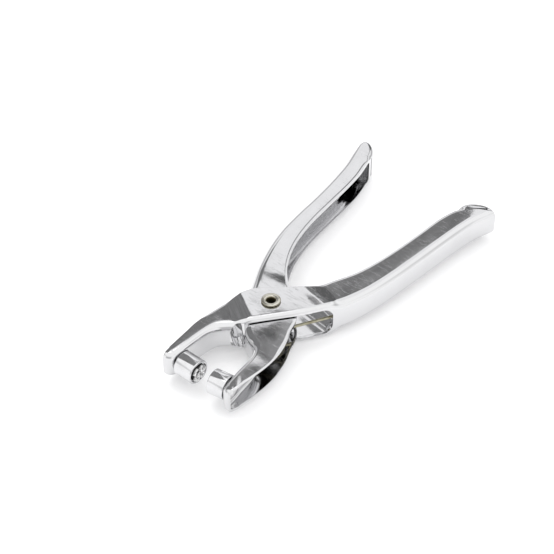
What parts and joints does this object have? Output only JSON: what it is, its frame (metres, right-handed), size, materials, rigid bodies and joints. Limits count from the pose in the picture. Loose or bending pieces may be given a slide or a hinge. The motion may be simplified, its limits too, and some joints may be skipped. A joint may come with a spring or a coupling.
{
  "type": "grommet setter",
  "caption": "Plier-type eyelet setting tool: crossing pressed-steel levers on a tubular rivet, with a star punch and a cup anvil on the jaws.",
  "frame": {"origin": "on the pivot axis, at the flat underside of the rivet's solid head, which the tool lies on", "axes": "+Z along the pivot axis towards the rolled end of the rivet; +Y from the jaws to the handles; +X towards the outer lever's handle"},
  "size_m": [0.0768, 0.165, 0.0192],
  "materials": {
    "outer_lever_finish": "bright chrome plate on pressed steel sheet",
    "inner_lever_finish": "bright chrome plate on pressed steel sheet",
    "pivot_rivet_finish": "warm nickel plate",
    "pivot_sleeve_finish": "zinc plate",
    "upper_washer_finish": "zinc plate",
    "lower_washer_finish": "zinc plate",
    "return_spring_finish": "drawn spring wire",
    "setter_barrel_finish": "turned steel, chrome plated",
    "setter_pin_finish": "turned steel",
    "anvil_barrel_finish": "turned steel, chrome plated",
    "anvil_pin_finish": "turned steel"
  },
  "bodies": {
    "outer_body": {"outer_lever": "outer_lever_finish", "pivot_rivet": "pivot_rivet_finish", "pivot_sleeve": "pivot_sleeve_finish", "upper_washer": "upper_washer_finish", "lower_washer": "lower_washer_finish", "return_spring": "return_spring_finish", "setter_barrel": "setter_barrel_finish", "setter_pin": "setter_pin_finish"},
    "inner_body": {"inner_lever": "inner_lever_finish", "anvil_barrel": "anvil_barrel_finish", "anvil_pin": "anvil_pin_finish"}
  },
  "joints": [
    {"name": "jaw_pivot", "type": "hinge", "parent": "outer_body", "child": "inner_body", "pos_m": [0, 0, 0.0097], "axis": [0, 0, -1], "range_deg": [0, 9], "stiffness_Nm_per_rad": 1.5, "springref_deg": -14.32, "deforming": ["return_spring"]}
  ]
}
